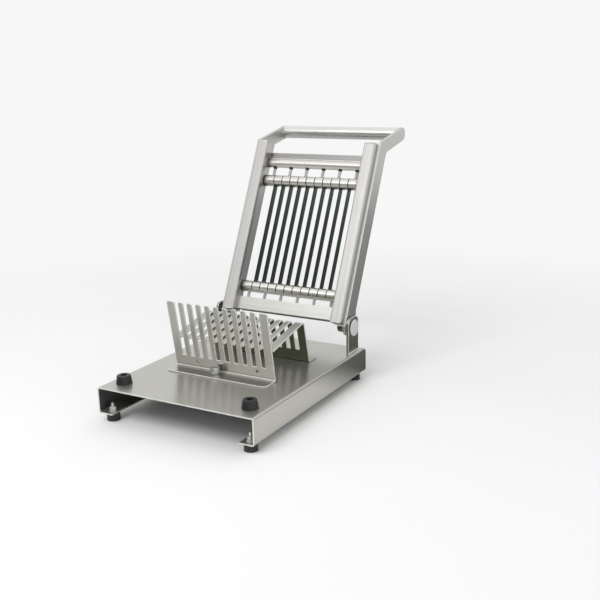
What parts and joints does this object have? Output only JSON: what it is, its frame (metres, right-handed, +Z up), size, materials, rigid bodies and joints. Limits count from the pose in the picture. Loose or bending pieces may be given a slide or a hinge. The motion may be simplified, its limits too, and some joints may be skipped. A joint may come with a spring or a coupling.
{
  "type": "pineapple slicer",
  "caption": "Counter-top pineapple slicer: a hinged frame of parallel blades swings by its handle through a slotted comb and saddle on a folded steel base with rubber feet.",
  "frame": {"origin": "on the floor under the feet, on the middle plane, halfway between the front of the tray and the back of the open arms", "axes": "+X across the machine to the right seen from the front, +Y to the back, +Z up"},
  "size_m": [0.25, 0.4994, 0.3669],
  "materials": {
    "brushed_steel": "brushed",
    "satin_steel": "satin",
    "turned_steel": "turned",
    "zinc_steel": "zinc plated",
    "blade_steel": "ground",
    "black_steel": "black oxide",
    "bronze": "machined",
    "rubber": "matte"
  },
  "bodies": {
    "base": {"base_tray": "brushed_steel", "foot_front_left": "rubber", "foot_front_right": "rubber", "foot_rear_left": "rubber", "foot_rear_right": "rubber", "foot_studs": "zinc_steel", "foot_washers": "zinc_steel", "foot_nuts": "zinc_steel", "bumper_left": "rubber", "bumper_right": "rubber", "bumper_screws": "zinc_steel", "bumper_nuts": "zinc_steel", "hinge_post_left": "brushed_steel", "hinge_post_right": "brushed_steel", "pivot_bush_left": "bronze", "pivot_bush_right": "bronze", "front_comb": "satin_steel", "thumb_nut": "zinc_steel", "saddle_leg": "satin_steel", "saddle_fingers": "satin_steel", "saddle_screws": "zinc_steel", "saddle_nuts": "zinc_steel"},
    "thumb": {"thumb_screw": "turned_steel"},
    "swing_frame": {"rail_left": "brushed_steel", "rail_right": "brushed_steel", "rail_caps": "brushed_steel", "side_plate_left": "brushed_steel", "side_plate_right": "brushed_steel", "handle_tube": "brushed_steel", "pivot_boss_left": "turned_steel", "pivot_boss_right": "turned_steel", "pivot_bolt_left": "turned_steel", "pivot_bolt_right": "turned_steel", "upper_tie_bar": "brushed_steel", "tension_rod": "turned_steel", "lower_cross_bar": "brushed_steel", "upper_blade_bar": "turned_steel", "lower_blade_bar": "turned_steel", "upper_blade_pin": "turned_steel", "lower_blade_pin": "turned_steel", "blade_1": "blade_steel", "blade_2": "blade_steel", "blade_3": "blade_steel", "blade_4": "blade_steel", "blade_5": "blade_steel", "blade_6": "blade_steel", "blade_7": "blade_steel", "blade_8": "blade_steel", "blade_9": "blade_steel", "blade_10": "blade_steel", "upper_tension_screws": "zinc_steel", "lower_tension_screws": "zinc_steel", "tension_lock_nuts": "black_steel"}
  },
  "joints": [
    {"name": "frame_swing", "type": "hinge", "parent": "base", "child": "swing_frame", "pos_m": [0, 0.04233, 0.086], "axis": [1, 0, 0], "range_deg": [0, 116.5]},
    {"name": "thumb_turn", "type": "hinge", "parent": "base", "child": "thumb", "pos_m": [-0.009, -0.13672, 0.055], "axis": [0, 0, 1], "continuous": true}
  ]
}
